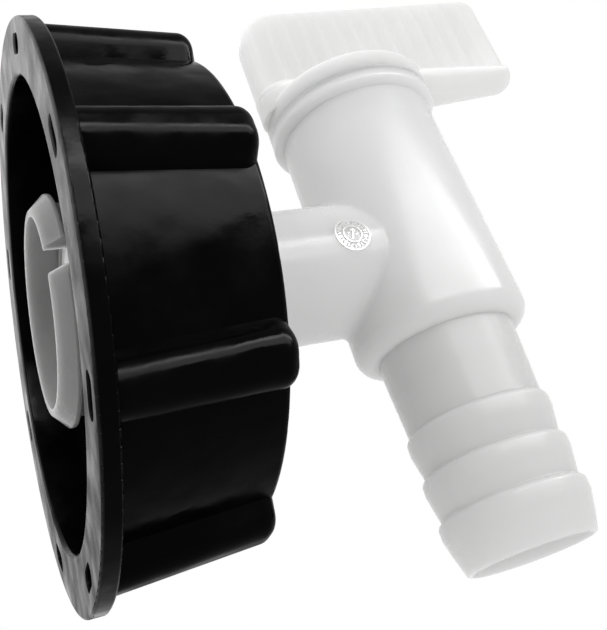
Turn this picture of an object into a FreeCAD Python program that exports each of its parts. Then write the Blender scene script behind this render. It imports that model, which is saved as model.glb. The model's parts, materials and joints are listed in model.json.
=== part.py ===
import FreeCAD, Part
import math
import os

# A jerrycan tap cap: a screw cap with hollow grip ribs, and a plastic tap that turns in the middle of the cap.
# The cap's axis is Z, with its open mouth at z = 0 and facing down. The barrel's axis is parallel to X, and the
# outlet points along +X. The origin is the centre of the cap's mouth. All sizes are in millimetres and degrees.

# Clearances that every fit is worked out from
running_gap = 0.06
turning_gap = 0.10
face_gap = 0.20
seal_gap = 0.04

# Screw cap
cap_height = 22.4
mouth_radius = 30.5
shell_wall_flange = 2.8
shell_wall_end = 1.4
end_wall = 2.6
flange_reach = 4.7
flange_thick = 2.3
mouth_chamfer = 0.5
edge_round = 0.4
end_round = 0.9
sleeve_wall = 2.4
sleeve_front = 8.8
# The cap was photographed turned a little on the tap, so no rib lies exactly along an axis
cap_turn = -3.0

# Grip ribs, hollow from the flange side
rib_count = 8
rib_base_width = 8.6
rib_crest_width = 5.4
rib_crest_round = 3.0
rib_height_flange = 4.0
rib_height_end = 3.4
rib_end_round = 2.1
rib_skin = 1.3
rib_side = 1.1
rib_core_round = 1.2
rib_core_stop = 3.4

# Neck thread inside the cap
thread_pitch = 6.0
thread_turns = 1.5
thread_start = 5.0
thread_depth = 1.5
thread_base_width = 3.0
thread_crest_width = 1.4
thread_root = 0.3

# Neck gasket
gasket_thick = 2.4
gasket_inner_radius = 19.5
gasket_rim_gap = 0.5

# Spigot of the tap, which turns in the cap's sleeve
spigot_radius = 11.4
spigot_bore = 8.4
spigot_end = 4.9
spigot_chamfer = 0.8
shoulder_radius = 15.6
shoulder_thick = 2.4

# Split collar that snaps on the spigot and holds the tap in the cap
collar_front = 0.2
collar_mouth_radius = 12.6
collar_front_radius = 13.5
lip_radius = 15.4
lip_cone = 1.9
lip_land = 0.6
lip_back = 0.4
collar_back_radius = 14.1
collar_grip_gap = 0.05
snap_rib_place = 6.6
snap_rib_half = 0.8
snap_rib_height = 0.7
collar_slot_width = 3.7
collar_slot_turn = 270.5

# Inlet pipe
pipe_radius = 10.0
pipe_bore = 7.8
throat_length = 2.0
pipe_join_round = 1.2

# Barrel
barrel_height = 56.0
barrel_radius_low = 13.3
barrel_radius_top = 12.7
barrel_low_end = 14.8
barrel_low_round = 2.5
barrel_top_end = 28.0
head_radius = 14.0
head_rim_radius = 14.15
head_rim_place = 25.9
head_rim_round = 0.8
head_step = 0.7
plug_bore = 10.6
barrel_floor = 12.9

# Hose tail
tail_radius = 10.4
tail_radius_end = 9.85
tail_bore = 8.3
barb_radius = 10.5
barb_taper = 0.75
barb_land = 1.7
barb_round = 0.8
barb_root_round = 0.35
barb_step_slope = 0.35
barb_count = 3
barb_first = 26.1
barb_pitch = 5.9
tail_end = 45.2
tail_lead = 2.4
tail_lead_drop = 0.75
tail_lead_round = 3.0
tail_end_round = 0.5

# Key: hollow plug, skirt and handle
plug_end_gap = 0.3
plug_hollow = 7.4
plug_hollow_top = 25.0
port_radius = 7.2
bead_place = 22.6
bead_height = 0.45
bead_half = 1.1
bead_gap = 0.15
skirt_radius = 14.0
skirt_thick = 3.6
skirt_round = 0.6
skirt_low_round = 0.12
skirt_gap = 0.08
foot_bottom = 30.2
foot_side_step = 0.1
bar_radius = 5.0
bar_inner_end = 15.2
bar_taper_start = 10.0
bar_taper_round = 40.0
bar_outer_end = 34.1
bar_end_radius = 3.35
bar_end_round = 3.1
bar_ledge = 34.9
bar_ledge_round = 0.7
plate_top = 52.4
plate_half_thick = 2.7
plate_inner_end = 14.8
plate_outer_end = 33.0
plate_inner_round = 7.4
plate_outer_round = 2.6
plate_edge_round = 1.6
plate_sink = 1.5
flute_count = 13
flute_pitch = 3.2
flute_depth = 0.4
flute_margin = 3.7
# At rest the key stands a little past its open stop, as it was photographed
key_turn = 4.0
key_travel = 90.0

# Turn stops under the key's skirt
stop_inner_radius = 11.3
stop_outer_radius = 12.5
stop_height = 1.3
stop_angle = 20.0
stop_place = 180.0
stop_side_gap = 0.25
stop_end_angle = 1.0

# Seals
key_cord = 1.5
key_seal_places = (-12.6, 10.3)
hub_cord = 1.5
hub_seal_place = 17.6
groove_spare = 0.5

# Worked out from the driving sizes
shell_radius_flange = mouth_radius + shell_wall_flange
shell_radius_end = mouth_radius + shell_wall_end
flange_radius = shell_radius_flange + flange_reach
rib_reach_flange = shell_radius_flange + rib_height_flange
rib_reach_end = shell_radius_end + rib_height_end
wall_under = cap_height - end_wall
sleeve_bore = spigot_radius + turning_gap
sleeve_outer = sleeve_bore + sleeve_wall
shoulder_place = cap_height + face_gap
plug_radius = plug_bore - running_gap
skirt_place = barrel_top_end + skirt_gap
collar_bore = spigot_radius + collar_grip_gap
collar_back = sleeve_front - face_gap
groove_half_key = (key_cord + groove_spare) / 2
groove_half_hub = (hub_cord + groove_spare) / 2
key_seal_outer = plug_bore - seal_gap
hub_seal_outer = sleeve_bore - seal_gap
key_groove = key_seal_outer - key_cord - seal_gap
hub_groove = hub_seal_outer - hub_cord - seal_gap
# How far a cutter reaches past a face, and the length that counts as no distance
over = 1.0
near = 0.01

V = FreeCAD.Vector
centre = V(0, 0, 0)
up = V(0, 0, 1)
across = V(1, 0, 0)
barrel_centre = V(0, 0, barrel_height)


def cap_point(radius, height):
    """A point of an outline that is turned about the cap's axis."""
    return V(radius, 0, height)


def barrel_point(radius, along):
    """A point of an outline that is turned about the barrel's axis."""
    return V(along, 0, barrel_height + radius)


def flat_point(a, b):
    """A point of an outline drawn in the plane of X and Y."""
    return V(a, b, 0)


def outline(corners, place):
    """A closed face with straight sides. A corner is (a, b), or (a, b, radius) where it is rounded."""
    points = [place(corner[0], corner[1]) for corner in corners]
    edges = []
    ends = []
    for i, corner in enumerate(corners):
        here = points[i]
        radius = corner[2] if len(corner) > 2 else 0
        if radius == 0:
            ends.append((here, here))
            continue
        back = (points[i - 1] - here).normalize()
        ahead = (points[(i + 1) % len(points)] - here).normalize()
        half = back.getAngle(ahead) / 2
        reach = radius / math.tan(half)
        middle = here + (back + ahead).normalize() * (radius / math.sin(half) - radius)
        start = here + back * reach
        stop = here + ahead * reach
        edges.append(Part.Arc(start, middle, stop).toShape())
        ends.append((start, stop))
    for i, (start, stop) in enumerate(ends):
        following = ends[(i + 1) % len(ends)][0]
        if (following - stop).Length > near:
            edges.append(Part.LineSegment(stop, following).toShape())
    return Part.Face(Part.Wire(Part.__sortEdges__(edges)))


def turned_on_cap(corners):
    return outline(corners, cap_point).revolve(centre, up, 360)


def turned_on_barrel(corners):
    return outline(corners, barrel_point).revolve(barrel_centre, across, 360)


def o_ring(outer_radius, cord, origin, axis):
    return Part.makeTorus(outer_radius - cord / 2, cord / 2, origin, axis)


def save(shape, name):
    shape.exportStep("parts/" + name + ".step")


def rib_section(base, reach, width_base, width_crest, rounding, height, base_rounding=0):
    corners = [
        (base, -width_base / 2, base_rounding),
        (base, width_base / 2, base_rounding),
        (reach, width_crest / 2, rounding),
        (reach, -width_crest / 2, rounding),
    ]
    wire = outline(corners, flat_point).OuterWire
    wire.translate(V(0, 0, height))
    return wire


def grip_rib():
    """One rib along +X with a rounded outer end."""
    base = (mouth_radius + shell_radius_end) / 2
    low = rib_section(base, rib_reach_flange, rib_base_width, rib_crest_width, rib_crest_round, 0)
    high = rib_section(base, rib_reach_end, rib_base_width, rib_crest_width, rib_crest_round, cap_height)
    rib = Part.makeLoft([low, high], True, True)
    end_edges = []
    for edge in rib.Edges:
        heights = [vertex.Z for vertex in edge.Vertexes]
        reaches = [vertex.X for vertex in edge.Vertexes]
        if min(heights) > cap_height - near and max(reaches) > base + near:
            end_edges.append(edge)
    return rib.makeFillet(rib_end_round, end_edges)


def rib_core():
    """The hollow of one rib, open at the flange."""
    base = shell_radius_flange
    top = cap_height - rib_core_stop
    share = top / cap_height
    reach_top = rib_reach_flange + share * (rib_reach_end - rib_reach_flange)
    width_base = rib_base_width - 2 * rib_side
    width_crest = rib_crest_width - rib_side
    low_reach = rib_reach_flange - rib_skin
    high_reach = reach_top - rib_skin
    low = rib_section(base, low_reach, width_base, width_crest, rib_core_round, -over, rib_core_round)
    high = rib_section(base, high_reach, width_base, width_crest, rib_core_round, top, rib_core_round)
    return Part.makeLoft([low, high], True, True)


def neck_thread():
    """A ridge that winds up the inside of the cap."""
    root = mouth_radius + thread_root
    height = thread_pitch * thread_turns
    helix = Part.makeHelix(thread_pitch, height, root)
    base = thread_base_width / 2
    crest = thread_crest_width / 2
    corners = [
        (root, -base),
        (root, base),
        (mouth_radius - thread_depth, crest),
        (mouth_radius - thread_depth, -crest),
    ]
    section = outline(corners, cap_point).OuterWire
    ridge = Part.Wire(helix).makePipeShell([section], True, True)
    ridge.translate(V(0, 0, thread_start + base))
    return ridge


def screw_cap():
    shell = turned_on_cap([
        (mouth_radius + mouth_chamfer, 0),
        (mouth_radius, mouth_chamfer),
        (mouth_radius, wall_under),
        (sleeve_outer, wall_under),
        (sleeve_outer, sleeve_front, edge_round),
        (sleeve_bore + mouth_chamfer, sleeve_front),
        (sleeve_bore, sleeve_front + mouth_chamfer),
        (sleeve_bore, cap_height),
        (shell_radius_end, cap_height, end_round),
        (shell_radius_flange, flange_thick, edge_round),
        (flange_radius, flange_thick, edge_round),
        (flange_radius, 0, edge_round),
    ])
    ribs = []
    cores = []
    for i in range(rib_count):
        angle = cap_turn + 360 / rib_count * i
        rib = grip_rib()
        rib.rotate(centre, up, angle)
        ribs.append(rib)
        core = rib_core()
        core.rotate(centre, up, angle)
        cores.append(core)
    return shell.fuse(ribs + [neck_thread()]).cut(Part.makeCompound(cores)).removeSplitter()


def neck_gasket():
    ring = Part.makeCylinder(mouth_radius - gasket_rim_gap, gasket_thick, V(0, 0, wall_under - gasket_thick))
    hole = Part.makeCylinder(gasket_inner_radius, cap_height)
    return ring.cut(hole)


def hub_seal():
    return o_ring(hub_seal_outer, hub_cord, V(0, 0, hub_seal_place), up)


def retaining_collar():
    """The split collar with its cone, lip and inner snap rib."""
    lip_start = collar_front + lip_cone
    lip_stop = lip_start + lip_land
    ring = turned_on_cap([
        (collar_mouth_radius, collar_front),
        (collar_front_radius, collar_front),
        (lip_radius, lip_start, edge_round / 2),
        (lip_radius, lip_stop, edge_round / 2),
        (collar_back_radius, lip_stop + lip_back),
        (collar_back_radius, collar_back, edge_round),
        (collar_bore, collar_back),
        (collar_bore, snap_rib_place + snap_rib_half),
        (collar_bore - snap_rib_height, snap_rib_place + snap_rib_half),
        (collar_bore - snap_rib_height, snap_rib_place),
        (collar_bore, snap_rib_place - snap_rib_half),
        (collar_bore, spigot_end - face_gap),
        (collar_mouth_radius, spigot_end - face_gap),
    ])
    slot = Part.makeBox(lip_radius + over, collar_slot_width, cap_height, V(0, -collar_slot_width / 2, -over))
    slot.rotate(centre, up, collar_slot_turn)
    return ring.cut(slot)


def spigot_and_pipe():
    """The spigot with its snap groove and seal groove, the shoulder and the inlet pipe, without their bore."""
    pipe_join = shoulder_place + shoulder_thick
    groove_floor = spigot_radius - snap_rib_height
    return turned_on_cap([
        (0, spigot_end),
        (spigot_radius - spigot_chamfer, spigot_end),
        (spigot_radius, spigot_end + spigot_chamfer),
        (groove_floor, snap_rib_place - collar_grip_gap),
        (groove_floor, snap_rib_place + snap_rib_half + collar_grip_gap),
        (spigot_radius, snap_rib_place + snap_rib_half + collar_grip_gap),
        (spigot_radius, hub_seal_place - groove_half_hub),
        (hub_groove, hub_seal_place - groove_half_hub),
        (hub_groove, hub_seal_place + groove_half_hub),
        (spigot_radius, hub_seal_place + groove_half_hub),
        (spigot_radius, shoulder_place),
        (shoulder_radius, shoulder_place, edge_round),
        (shoulder_radius, pipe_join, edge_round),
        (pipe_radius, pipe_join, edge_round),
        (pipe_radius, barrel_height),
        (0, barrel_height),
    ])


def inlet_bore():
    """The way in: wide in the spigot, then narrowing to the pipe's bore."""
    return turned_on_cap([
        (0, spigot_end - over),
        (spigot_bore, spigot_end - over),
        (spigot_bore, shoulder_place - throat_length),
        (pipe_bore, shoulder_place),
        (pipe_bore, barrel_height),
        (0, barrel_height),
    ])


def barrel_and_tail():
    """The barrel with its flared head and rounded low end, and the hose tail with its barbs."""
    corners = [
        (0, -barrel_top_end),
        (head_radius, -barrel_top_end),
        (head_rim_radius, -head_rim_place, head_rim_round),
        (barrel_radius_top, -head_rim_place + head_step),
        (barrel_radius_low, barrel_low_end, barrel_low_round),
        (tail_radius, barrel_low_end),
        (tail_radius_end, barb_first, barb_root_round),
    ]
    for i in range(barb_count):
        step = barb_first + barb_pitch * i
        corners.append((barb_radius, step + barb_step_slope, barb_round))
        corners.append((barb_radius, step + barb_step_slope + barb_land))
        if i < barb_count - 1:
            corners.append((barb_radius - barb_taper, step + barb_pitch, barb_root_round))
    end_radius = barb_radius - barb_taper
    corners.append((end_radius, tail_end - tail_lead, tail_lead_round))
    corners.append((end_radius - tail_lead_drop, tail_end, tail_end_round))
    corners.append((0, tail_end))
    return turned_on_barrel(corners)


def barrel_bores():
    bead_low = -bead_place - bead_half - bead_gap
    bead_high = -bead_place + bead_half + bead_gap
    bead_bore = plug_bore + bead_height + bead_gap - running_gap
    return turned_on_barrel([
        (0, -barrel_top_end - over),
        (plug_bore, -barrel_top_end - over),
        (plug_bore, bead_low - bead_height),
        (bead_bore, bead_low),
        (bead_bore, bead_high),
        (plug_bore, bead_high + bead_height),
        (plug_bore, barrel_floor),
        (tail_bore, barrel_floor),
        (tail_bore, tail_end + over),
        (0, tail_end + over),
    ])


def ring_piece(inner, outer, start, thick, angle_from, angle_to):
    """Part of a ring about the barrel's axis. Angles run from +Z towards -Y."""
    stop = start + thick
    corners = [(inner, start), (outer, start), (outer, stop), (inner, stop)]
    piece = outline(corners, barrel_point).revolve(barrel_centre, across, angle_to - angle_from)
    piece.rotate(barrel_centre, across, angle_from)
    return piece


def rounded_where_pipe_joins(solid):
    """Rounds the edge that the inlet pipe makes with the barrel."""
    join_edges = []
    for edge in solid.Edges:
        points = edge.discretize(5)
        on_pipe = all(abs(math.hypot(point.x, point.y) - pipe_radius) < near for point in points)
        heights = [point.z for point in points]
        if on_pipe and max(heights) - min(heights) > near and min(heights) > barrel_height / 2:
            join_edges.append(edge)
    return solid.makeFillet(pipe_join_round, join_edges)


def tap_body():
    solid = spigot_and_pipe().fuse(barrel_and_tail()).removeSplitter()
    solid = rounded_where_pipe_joins(solid)
    solid = solid.cut(inlet_bore()).cut(barrel_bores())
    lug = ring_piece(
        stop_inner_radius,
        stop_outer_radius,
        -barrel_top_end - stop_height,
        stop_height + edge_round,
        stop_place - stop_angle / 2,
        stop_place + stop_angle / 2,
    )
    return solid.fuse(lug).removeSplitter()


def key_plug():
    """The hollow plug with its seal grooves and snap bead, and the skirt over the barrel's head."""
    corners = [
        (0, -skirt_place - skirt_thick),
        (skirt_radius, -skirt_place - skirt_thick, skirt_round),
        (skirt_radius, -skirt_place, skirt_low_round),
        (plug_radius, -skirt_place),
        (plug_radius, -bead_place - bead_half - bead_height),
        (plug_radius + bead_height, -bead_place - bead_half),
        (plug_radius + bead_height, -bead_place + bead_half),
        (plug_radius, -bead_place + bead_half + bead_height),
    ]
    for place in key_seal_places:
        corners.append((plug_radius, place - groove_half_key))
        corners.append((key_groove, place - groove_half_key))
        corners.append((key_groove, place + groove_half_key))
        corners.append((plug_radius, place + groove_half_key))
    corners.append((plug_radius, barrel_floor - plug_end_gap))
    corners.append((0, barrel_floor - plug_end_gap))
    plug = turned_on_barrel(corners)
    hollow_length = plug_hollow_top + barrel_floor
    hollow = Part.makeCylinder(plug_hollow, hollow_length, V(-plug_hollow_top, 0, barrel_height), across)
    port = Part.makeCylinder(port_radius, plug_radius + over, barrel_centre, V(0, 0, -1))
    recess = ring_piece(
        stop_inner_radius - stop_side_gap,
        stop_outer_radius + stop_side_gap,
        -skirt_place - stop_height,
        stop_height + over,
        stop_place - key_travel - stop_angle / 2 - stop_end_angle,
        stop_place + stop_angle / 2 + stop_end_angle,
    )
    return plug.cut(Part.makeCompound([hollow, port])).cut(recess)


def handle_bar():
    """The half-round bar of the handle, which tapers to its outer end."""
    side = outline(
        [
            (0, -bar_inner_end),
            (bar_radius, -bar_inner_end, bar_radius),
            (bar_radius, bar_taper_start, bar_taper_round),
            (bar_end_radius, bar_outer_end, bar_end_round),
            (0, bar_outer_end),
        ],
        lambda a, b: V(-bar_ledge, -a, barrel_height + b),
    )
    bar = side.revolve(V(-bar_ledge, 0, barrel_height), up, 180)
    ledge_edges = []
    for edge in bar.Edges:
        if max(vertex.X for vertex in edge.Vertexes) < -bar_ledge + near and edge.Length > near:
            ledge_edges.append(edge)
    return bar.makeFillet(bar_ledge_round, ledge_edges)


def handle_foot():
    """The straight foot between the bar and the skirt."""
    half = bar_radius - foot_side_step
    inner = barrel_height - bar_inner_end + foot_side_step
    outer = barrel_height + bar_taper_start
    plan = outline(
        [
            (inner, -half, half),
            (outer, -half),
            (outer, half),
            (inner, half, half),
        ],
        lambda a, b: V(-bar_ledge + 2 * bar_ledge_round, b, a),
    )
    return plan.extrude(V(bar_ledge - 2 * bar_ledge_round - foot_bottom, 0, 0))


def flute_cutters():
    """Shallow round channels that run up both faces of the plate."""
    radius = (flute_pitch ** 2 / 4 + flute_depth ** 2) / (2 * flute_depth)
    first = barrel_height - plate_inner_end + flute_margin
    length = plate_top - bar_ledge + over
    cutters = []
    for side in (-1, 1):
        depth_place = side * (plate_half_thick - flute_depth + radius)
        for i in range(flute_count):
            origin = V(-plate_top - over, depth_place, first + flute_pitch * i)
            cutters.append(Part.makeCylinder(radius, length, origin, across))
    return Part.makeCompound(cutters)


def handle_plate():
    """The thin fluted part of the handle, which stands in the foot and the bar."""
    inner = barrel_height - plate_inner_end
    outer = barrel_height + plate_outer_end
    low = plate_sink - bar_ledge
    face = outline(
        [
            (low, inner),
            (-plate_top, inner, plate_inner_round),
            (-plate_top, outer, plate_outer_round),
            (low, outer),
        ],
        lambda a, b: V(a, -plate_half_thick, b),
    )
    plate = face.extrude(V(0, 2 * plate_half_thick, 0))
    rim_edges = []
    for edge in plate.Edges:
        sides = {round(vertex.Y, 3) for vertex in edge.Vertexes}
        lowest = max(vertex.X for vertex in edge.Vertexes)
        straight_low = min(vertex.X for vertex in edge.Vertexes) > low - near
        if len(sides) == 1 and lowest <= low + near and not straight_low:
            rim_edges.append(edge)
    return plate.makeFillet(plate_edge_round, rim_edges).cut(flute_cutters())


def tap_key():
    key = key_plug().fuse([handle_bar(), handle_foot(), handle_plate()])
    key = key.removeSplitter()
    key.rotate(barrel_centre, across, key_turn)
    return key


def key_seal(place):
    return o_ring(key_seal_outer, key_cord, V(place, 0, barrel_height), across)


os.makedirs("parts", exist_ok=True)
save(screw_cap(), "screw_cap")
save(neck_gasket(), "neck_gasket")
save(hub_seal(), "hub_seal")
save(retaining_collar(), "retaining_collar")
save(tap_body(), "tap_body")
save(tap_key(), "tap_key")
save(key_seal(key_seal_places[0]), "key_seal_upper")
save(key_seal(key_seal_places[1]), "key_seal_lower")
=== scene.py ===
import json
import math

import bmesh
import bpy
from mathutils import Matrix, Vector


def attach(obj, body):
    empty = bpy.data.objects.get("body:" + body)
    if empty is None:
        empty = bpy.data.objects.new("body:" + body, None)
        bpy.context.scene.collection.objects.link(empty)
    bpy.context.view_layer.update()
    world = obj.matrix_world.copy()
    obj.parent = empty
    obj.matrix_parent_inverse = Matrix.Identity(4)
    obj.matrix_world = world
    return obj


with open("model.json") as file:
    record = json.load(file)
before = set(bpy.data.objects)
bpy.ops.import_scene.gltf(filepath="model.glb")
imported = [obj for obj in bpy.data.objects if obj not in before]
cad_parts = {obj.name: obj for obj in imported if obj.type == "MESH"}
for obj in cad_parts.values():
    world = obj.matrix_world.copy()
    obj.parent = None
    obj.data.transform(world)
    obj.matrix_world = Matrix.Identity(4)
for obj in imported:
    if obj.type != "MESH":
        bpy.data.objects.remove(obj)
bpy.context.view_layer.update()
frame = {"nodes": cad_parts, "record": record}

# Lengths are in metres, in the frame of the solids: cap's axis along Z, mouth at z = 0, barrel along X
mm = 0.001

# The camera stands where the photograph was taken from, a little below the plane of the flange
camera_place = Vector((57.04, -108.86, -13.98)) * mm
picture_right = Vector((0.2956, -0.2724, 0.9157)).normalized()
picture_up = Vector((-0.8221, -0.5607, 0.0986)).normalized()
picture_toward = picture_right.cross(picture_up).normalized()
lens = 51.712
shift_right = 0.0114
shift_up = -0.1587
near_limit = 1 * mm

# The lamps shine on the middle of the object, and the world gives even light and a white background
middle = Vector((0, 0, 40)) * mm
lamp_distance = 0.6
strip_along = (0, 0.33, 0.94)
even_light = 0.84
background_light = 1.0

floor_drop = 0.4 * mm
floor_half = 2.0

# Sizes of the solids that the marks and the painted sheen sit on, and the span along X over which the milky
# plastic's painted shade comes in
pipe_radius = 10.0 * mm
mouth_radius = 30.5 * mm
painted_shade_from = 2.0 * mm
painted_shade_full = 20.0 * mm

# Date mark of the mould, on the side of the inlet pipe
dial_side = -0.4 * mm
dial_height = 42.6 * mm
dial_turn = math.radians(100)
dial_root = -0.05 * mm
dial_raise = 0.16 * mm
outer_ring_radius = 2.65 * mm
outer_ring_width = 0.2 * mm
inner_ring_radius = 1.44 * mm
inner_ring_width = 0.16 * mm
months = 12
month_step = math.radians(30)
number_radius = 1.97 * mm
number_size = 0.95 * mm
tick_radius = 2.02 * mm
tick_width = 0.1 * mm
tick_length = 0.5 * mm
arrow_lean = math.radians(-28)
arrow_width = 0.16 * mm
arrow_length = 1.7 * mm
arrow_tip = 0.85 * mm
wing_spread = math.radians(35)
wing_middle = 0.3 * mm
wing_width = 0.15 * mm
wing_length = 0.6 * mm
dot_place = 0.6 * mm
dot_size = 0.24 * mm


def add_material(name, roughness, specular):
    material = bpy.data.materials.new(name)
    material.use_nodes = True
    shader = material.node_tree.nodes["Principled BSDF"]
    shader.inputs["Roughness"].default_value = roughness
    shader.inputs["Specular IOR Level"].default_value = specular
    return material, shader


def add_node(material, kind, **settings):
    node = material.node_tree.nodes.new(kind)
    for name, value in settings.items():
        setattr(node, name, value)
    return node


def join(material, source, target):
    material.node_tree.links.new(source, target)


def object_place(material, stretch, turn):
    """Object coordinates, turned and stretched."""
    place = add_node(material, "ShaderNodeTexCoord")
    mapping = add_node(material, "ShaderNodeMapping")
    mapping.inputs["Scale"].default_value = stretch
    mapping.inputs["Rotation"].default_value = turn
    join(material, place.outputs["Object"], mapping.inputs["Vector"])
    return mapping.outputs["Vector"]


def noise(material, scale, detail, stretch=(1, 1, 1), turn=(0, 0, 0)):
    node = add_node(material, "ShaderNodeTexNoise")
    node.inputs["Scale"].default_value = scale
    node.inputs["Detail"].default_value = detail
    join(material, object_place(material, stretch, turn), node.inputs["Vector"])
    return node.outputs["Fac"]


def remap(material, source, low, high, to_low, to_high):
    """Stretches the values from low to high over the values from to_low to to_high."""
    node = add_node(material, "ShaderNodeMapRange")
    for name, value in (("From Min", low), ("From Max", high), ("To Min", to_low), ("To Max", to_high)):
        node.inputs[name].default_value = value
    join(material, source, node.inputs["Value"])
    return node.outputs["Result"]


def product(material, first, second):
    node = add_node(material, "ShaderNodeMath", operation="MULTIPLY")
    join(material, first, node.inputs[0])
    join(material, second, node.inputs[1])
    return node.outputs[0]


def blend_colours(material, factor, first, second):
    """Goes from the first colour to the second, each one a plain colour or the colour of another node."""
    node = add_node(material, "ShaderNodeMix", data_type="RGBA")
    sockets = [socket for socket in node.inputs if socket.type == "RGBA"]
    for socket, value in zip(sockets, (first, second)):
        if isinstance(value, tuple):
            socket.default_value = (*value, 1)
        else:
            join(material, value, socket)
    join(material, factor, node.inputs["Factor"])
    return [socket for socket in node.outputs if socket.type == "RGBA"][0]


def bump(material, source, strength, distance, under=None):
    """Raises the surface by a pattern, on top of another bump where one is given."""
    node = add_node(material, "ShaderNodeBump")
    node.inputs["Strength"].default_value = strength
    node.inputs["Distance"].default_value = distance
    join(material, source, node.inputs["Height"])
    if under is not None:
        join(material, under, node.inputs["Normal"])
    return node.outputs["Normal"]


def object_axes(material):
    place = add_node(material, "ShaderNodeTexCoord")
    parts = add_node(material, "ShaderNodeSeparateXYZ")
    join(material, place.outputs["Object"], parts.inputs["Vector"])
    return parts.outputs


def distance_from_axis(material, axes):
    """How far a point is from the cap's axis."""
    flat = add_node(material, "ShaderNodeCombineXYZ")
    join(material, axes["X"], flat.inputs["X"])
    join(material, axes["Y"], flat.inputs["Y"])
    length = add_node(material, "ShaderNodeVectorMath", operation="LENGTH")
    join(material, flat.outputs["Vector"], length.inputs[0])
    return length.outputs["Value"]


def milky_plastic(name, dull, clear, painted_shade_grey):
    """Milky plastic without pigment: cloudy, lets light in, with fine scratches, and greyer along X towards
    the hose tail as painted shade.
    """
    material, shader = add_material(name, roughness=0.22, specular=0.055)
    clouds = noise(material, scale=60, detail=2)
    tint = blend_colours(material, remap(material, clouds, 0.3, 0.7, 0, 1), dull, clear)
    # Painted shade: the tint turns greyer along X, from the inlet pipe's axis to the hose tail, the end that
    # lies in shade.
    painted_shade_ramp = remap(material, object_axes(material)["X"], painted_shade_from, painted_shade_full, 0, 1)
    join(material, blend_colours(material, painted_shade_ramp, tint, painted_shade_grey), shader.inputs["Base Color"])
    shader.inputs["Subsurface Weight"].default_value = 1.0
    shader.inputs["Subsurface Radius"].default_value = (1.0, 1.0, 1.0)
    shader.inputs["Subsurface Scale"].default_value = 4.0 * mm
    patches = remap(material, noise(material, scale=130, detail=3), 0.4, 0.62, 0, 1)
    scratches = noise(material, scale=2200, detail=3, stretch=(1, 0.3, 1.6), turn=(0.3, 0.5, 0.2))
    worn = product(material, patches, remap(material, scratches, 0.4, 0.7, 0, 1))
    join(material, remap(material, worn, 0, 1, 0.17, 0.4), shader.inputs["Roughness"])
    waves = bump(material, noise(material, scale=90, detail=1), strength=0.2, distance=0.1 * mm)
    grain = bump(material, scratches, strength=0.1, distance=0.006 * mm, under=waves)
    join(material, grain, shader.inputs["Normal"])
    return material


def black_plastic():
    """Black plastic, cloudy and grainy, with a painted sheen on the flange's face: a paler grey that stands
    in for the light the face reflects, most of it on the handle's side.
    """
    material, shader = add_material("black_plastic", roughness=0.2, specular=0.018)
    axes = object_axes(material)
    low = remap(material, axes["Z"], 0.1 * mm, 0.35 * mm, 1, 0)
    radius = distance_from_axis(material, axes)
    outside = remap(material, radius, mouth_radius, mouth_radius + 0.5 * mm, 0, 1)
    face = product(material, low, outside)
    # Painted sheen: the flange's face is painted paler grey for the light it reflects, fading away from the
    # handle's side.
    painted_sheen_side = product(material, face, remap(material, axes["X"], 25 * mm, -25 * mm, 0.08, 1))
    clouds = noise(material, scale=110, detail=5)
    painted_sheen = product(material, painted_sheen_side, remap(material, clouds, 0.35, 0.75, 0.4, 1))
    plain = blend_colours(material, clouds, (0.0005, 0.0005, 0.0005), (0.002, 0.002, 0.002))
    colour = blend_colours(material, painted_sheen, plain, (0.26, 0.26, 0.26))
    join(material, colour, shader.inputs["Base Color"])
    patches = noise(material, scale=170, detail=3)
    join(material, remap(material, patches, 0.35, 0.65, 0.12, 0.34), shader.inputs["Roughness"])
    dents = bump(material, noise(material, scale=150, detail=1.5), strength=0.8, distance=0.45 * mm)
    fine = noise(material, scale=1800, detail=3)
    grain = bump(material, fine, strength=0.35, distance=0.03 * mm, under=dents)
    join(material, grain, shader.inputs["Normal"])
    return material


def raised_mark():
    """The same milky plastic where it stands up in fine lines, too fine to take light in."""
    material, shader = add_material("raised_mark", roughness=0.2, specular=0.8)
    clouds = noise(material, scale=900, detail=2)
    colour = blend_colours(material, clouds, (0.93, 0.93, 0.925), (0.98, 0.98, 0.975))
    join(material, colour, shader.inputs["Base Color"])
    join(material, remap(material, clouds, 0.3, 0.7, 0.14, 0.26), shader.inputs["Roughness"])
    join(material, bump(material, clouds, strength=0.2, distance=0.01 * mm), shader.inputs["Normal"])
    return material


def seal_rubber():
    material, shader = add_material("seal_rubber", roughness=0.7, specular=0.3)
    clouds = noise(material, scale=200, detail=4)
    colour = blend_colours(material, clouds, (0.012, 0.012, 0.012), (0.03, 0.03, 0.03))
    join(material, colour, shader.inputs["Base Color"])
    join(material, remap(material, clouds, 0.3, 0.7, 0.6, 0.8), shader.inputs["Roughness"])
    grain = bump(material, noise(material, scale=1500, detail=3), strength=0.3, distance=0.05 * mm)
    join(material, grain, shader.inputs["Normal"])
    return material


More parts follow.
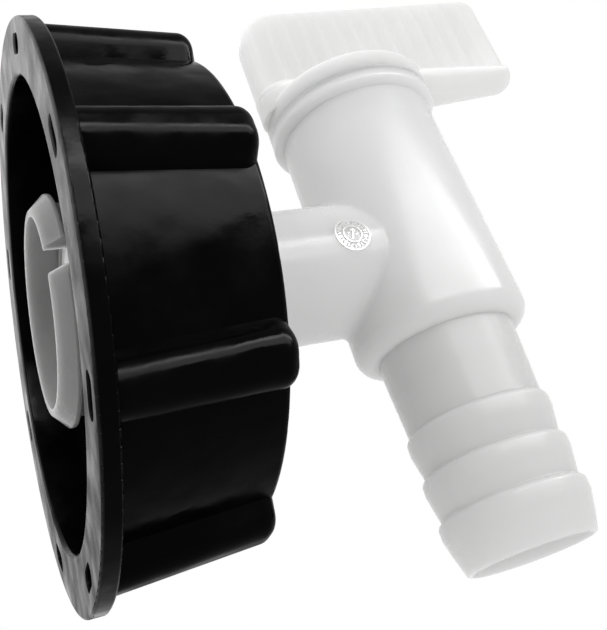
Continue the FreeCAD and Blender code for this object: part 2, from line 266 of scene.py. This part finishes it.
def pale_floor():
    """Seen only from above, so that the camera can look at the flange from just under it."""
    material = bpy.data.materials.new("pale_floor")
    material.use_nodes = True
    material.node_tree.nodes.clear()
    output = add_node(material, "ShaderNodeOutputMaterial")
    paint = add_node(material, "ShaderNodeBsdfDiffuse")
    paint.inputs["Color"].default_value = (0.8, 0.8, 0.8, 1)
    glow = add_node(material, "ShaderNodeEmission")
    glow.inputs["Strength"].default_value = 0.3
    lit = add_node(material, "ShaderNodeAddShader")
    join(material, paint.outputs[0], lit.inputs[0])
    join(material, glow.outputs[0], lit.inputs[1])
    clear = add_node(material, "ShaderNodeBsdfTransparent")
    side = add_node(material, "ShaderNodeNewGeometry")
    light = add_node(material, "ShaderNodeLightPath")
    front = add_node(material, "ShaderNodeMath", operation="SUBTRACT")
    front.use_clamp = True
    join(material, light.outputs["Is Camera Ray"], front.inputs[0])
    join(material, side.outputs["Backfacing"], front.inputs[1])
    seen = add_node(material, "ShaderNodeMixShader")
    join(material, front.outputs[0], seen.inputs["Fac"])
    join(material, clear.outputs[0], seen.inputs[1])
    join(material, lit.outputs[0], seen.inputs[2])
    join(material, seen.outputs[0], output.inputs["Surface"])
    return material


def milky_tints(dull, clear, painted_shade_grey):
    """The three greys of a milky plastic, the last one its painted shade, each a trace warmer than neutral.
    """
    return [(level, level, level * 0.995) for level in (dull, clear, painted_shade_grey)]


materials = {
    "black_plastic": black_plastic(),
    "natural_plastic": milky_plastic("natural_plastic", *milky_tints(0.91, 0.95, 0.74)),
    # Painted shade: a greyer copy of the milky plastic for the key's handle
    "handle_painted_shade": milky_plastic("handle_painted_shade", *milky_tints(0.81, 0.85, 0.81)),
    # Painted shade: a dark grey copy of the milky plastic for the collar inside the cap's mouth
    "collar_painted_shade": milky_plastic("collar_painted_shade", *milky_tints(0.24, 0.28, 0.26)),
    "seal_rubber": seal_rubber(),
    "raised_mark": raised_mark(),
}

# The collar, white plastic like the tap, is painted dark grey: painted shade for the shade inside the cap's
# mouth and the dark cap behind its wall
# The key's milky plastic is painted a little greyer than the barrel's: painted shade that tones down the
# light falling on the handle
finishes = {"retaining_collar": "collar_painted_shade", "tap_key": "handle_painted_shade"}


def smooth_solid(solid):
    """Joins the loose triangles of a solid and shades its round faces smooth."""
    for face in solid.data.polygons:
        face.use_smooth = True
    weld = solid.modifiers.new("weld", "WELD")
    weld.merge_threshold = 0.001 * mm
    split = solid.modifiers.new("edges", "EDGE_SPLIT")
    split.split_angle = math.radians(50)
    even = solid.modifiers.new("shading", "WEIGHTED_NORMAL")
    even.mode = "FACE_AREA"
    even.weight = 50


def dress_solids():
    for part in frame["record"]["subparts"]:
        solid = frame["nodes"][part["node"]]
        solid.data.materials.clear()
        solid.data.materials.append(materials[finishes.get(part["node"], part["material_slot"])])
        smooth_solid(solid)


def finish_piece(name, shape, finish, body):
    """Makes a piece of a shape and lets it ride on a body."""
    bmesh.ops.recalc_face_normals(shape, faces=shape.faces)
    mesh = bpy.data.meshes.new(name)
    shape.to_mesh(mesh)
    shape.free()
    mesh.materials.append(materials[finish])
    piece = bpy.data.objects.new(name, mesh)
    bpy.context.scene.collection.objects.link(piece)
    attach(piece, body)


def flat_ring(shape, radius, width):
    """A flat raised ring about the Z axis, of the given outer radius and width."""
    inner = radius - width
    corners = [(inner, dial_root), (radius, dial_root), (radius, dial_raise), (inner, dial_raise)]
    verts = [shape.verts.new((across, 0, height)) for across, height in corners]
    edges = [shape.edges.new((verts[i], verts[(i + 1) % 4])) for i in range(4)]
    bmesh.ops.spin(
        shape,
        geom=verts + edges,
        cent=(0, 0, 0),
        axis=(0, 0, 1),
        angle=2 * math.pi,
        steps=48,
        use_merge=True,
    )


def raised_block(shape, width, length, place, turn):
    """A block half in the surface, turned about Z and then moved."""
    cube = bmesh.ops.create_cube(shape, size=1.0)["verts"]
    bmesh.ops.scale(shape, vec=(width, length, 2 * dial_raise), verts=cube)
    bmesh.ops.rotate(shape, cent=(0, 0, 0), matrix=Matrix.Rotation(turn, 3, "Z"), verts=cube)
    bmesh.ops.translate(shape, vec=place, verts=cube)


def add_number(shape, text, place, turn):
    """A raised number, centred on its place."""
    curve = bpy.data.curves.new("number", "FONT")
    curve.body = text
    curve.size = number_size
    curve.align_x = "CENTER"
    curve.align_y = "CENTER"
    curve.extrude = dial_raise
    curve.resolution_u = 2
    holder = bpy.data.objects.new("number", curve)
    bpy.context.scene.collection.objects.link(holder)
    bpy.context.view_layer.update()
    mesh = bpy.data.meshes.new_from_object(holder.evaluated_get(bpy.context.evaluated_depsgraph_get()))
    before = set(shape.verts)
    shape.from_mesh(mesh)
    added = [vert for vert in shape.verts if vert not in before]
    bmesh.ops.rotate(shape, cent=(0, 0, 0), matrix=Matrix.Rotation(turn, 3, "Z"), verts=added)
    bmesh.ops.translate(shape, vec=place, verts=added)
    bpy.data.objects.remove(holder)
    bpy.data.curves.remove(curve)
    bpy.data.meshes.remove(mesh)


def wrap_on_pipe(shape, side, height, turn):
    """Turns a flat mark, which faces +Z, and bends it round the near side of the inlet pipe."""
    bmesh.ops.rotate(shape, cent=(0, 0, 0), matrix=Matrix.Rotation(turn, 3, "Z"), verts=shape.verts)
    for vert in shape.verts:
        across, along, raised = vert.co
        angle = (side + across) / pipe_radius
        radius = pipe_radius + raised
        vert.co = Vector((radius * math.sin(angle), -radius * math.cos(angle), height + along))


def from_centre(angle, distance):
    return Vector((math.cos(angle), math.sin(angle), 0)) * distance


def date_dial():
    """The mould's date mark: a ring of month numbers round an arrow."""
    shape = bmesh.new()
    quarter = math.pi / 2
    flat_ring(shape, outer_ring_radius, outer_ring_width)
    flat_ring(shape, inner_ring_radius, inner_ring_width)
    for month in range(1, months + 1):
        angle = quarter - month_step * month
        add_number(shape, str(month), from_centre(angle, number_radius), angle - quarter)
        between = angle + month_step / 2
        tick = from_centre(between, tick_radius)
        raised_block(shape, tick_width, tick_length, tick, between - quarter)
    raised_block(shape, arrow_width, arrow_length, (0, 0, 0), arrow_lean)
    tip = from_centre(arrow_lean + quarter, arrow_tip)
    for side in (-1, 1):
        turn = arrow_lean + side * wing_spread
        wing = tip + from_centre(turn - quarter, wing_middle)
        raised_block(shape, wing_width, wing_length, wing, turn)
        dot = from_centre(arrow_lean, side * dot_place)
        raised_block(shape, dot_size, dot_size, dot, arrow_lean)
    wrap_on_pipe(shape, dial_side, dial_height, dial_turn)
    finish_piece("date_dial", shape, "raised_mark", "tap")


def add_floor():
    mesh = bpy.data.meshes.new("floor")
    shape = bmesh.new()
    bmesh.ops.create_grid(shape, x_segments=1, y_segments=1, size=floor_half)
    bmesh.ops.translate(shape, vec=(0, 0, -floor_drop), verts=shape.verts)
    shape.to_mesh(mesh)
    shape.free()
    mesh.materials.append(pale_floor())
    floor = bpy.data.objects.new("floor", mesh)
    bpy.context.scene.collection.objects.link(floor)


def add_lamp(name, way, along, width, height, power):
    """A soft lamp that shines from one direction on the object, with its width along another."""
    lamp = bpy.data.lights.new(name, "AREA")
    lamp.shape = "RECTANGLE"
    lamp.size = width
    lamp.size_y = height
    lamp.energy = power
    holder = bpy.data.objects.new(name, lamp)
    back = Vector(way).normalized()
    level = (Vector(along) - back * back.dot(Vector(along))).normalized()
    axes = Matrix((level, back.cross(level), back)).transposed()
    holder.matrix_world = Matrix.Translation(middle + back * lamp_distance) @ axes.to_4x4()
    bpy.context.scene.collection.objects.link(holder)
    return holder


def add_lamps():
    """A bright strip and a weaker one that show in the gloss only, and soft light from the mouth's side."""
    strip = add_lamp("strip_lamp", (-0.465, -0.84, 0.30), strip_along, width=1.43, height=0.11, power=22.0)
    strip.visible_diffuse = False
    side = add_lamp("side_lamp", (-0.2, -0.93, 0.30), strip_along, width=0.9, height=0.24, power=13.0)
    side.visible_diffuse = False
    soft = add_lamp("soft_lamp", (-0.75, -0.25, -0.6), (0, 1, 0), width=0.7, height=0.7, power=1.3)
    soft.visible_glossy = False


def add_world():
    """White for the camera, in gloss and through clear things, and a little weaker as diffuse light."""
    world = bpy.data.worlds.new("studio")
    bpy.context.scene.world = world
    world.use_nodes = True
    nodes = world.node_tree.nodes
    links = world.node_tree.links
    background = nodes["Background"]
    background.inputs["Color"].default_value = (1, 1, 1, 1)
    path = nodes.new("ShaderNodeLightPath")
    strength = nodes.new("ShaderNodeMapRange")
    strength.inputs["To Min"].default_value = even_light
    strength.inputs["To Max"].default_value = background_light
    seen = path.outputs["Is Camera Ray"]
    for ray in ("Is Transmission Ray", "Is Glossy Ray"):
        either = nodes.new("ShaderNodeMath")
        either.operation = "MAXIMUM"
        links.new(seen, either.inputs[0])
        links.new(path.outputs[ray], either.inputs[1])
        seen = either.outputs[0]
    links.new(seen, strength.inputs["Value"])
    links.new(strength.outputs["Result"], background.inputs["Strength"])


def add_camera():
    view = bpy.data.cameras.new("camera")
    view.lens = lens
    view.shift_x = shift_right
    view.shift_y = shift_up
    view.clip_start = near_limit
    holder = bpy.data.objects.new("camera", view)
    axes = Matrix((picture_right, picture_up, picture_toward)).transposed()
    holder.matrix_world = Matrix.Translation(camera_place) @ axes.to_4x4()
    bpy.context.scene.collection.objects.link(holder)
    bpy.context.scene.camera = holder


dress_solids()
date_dial()
add_floor()
add_lamps()
add_world()
add_camera()
bpy.context.scene.view_settings.view_transform = "Standard"
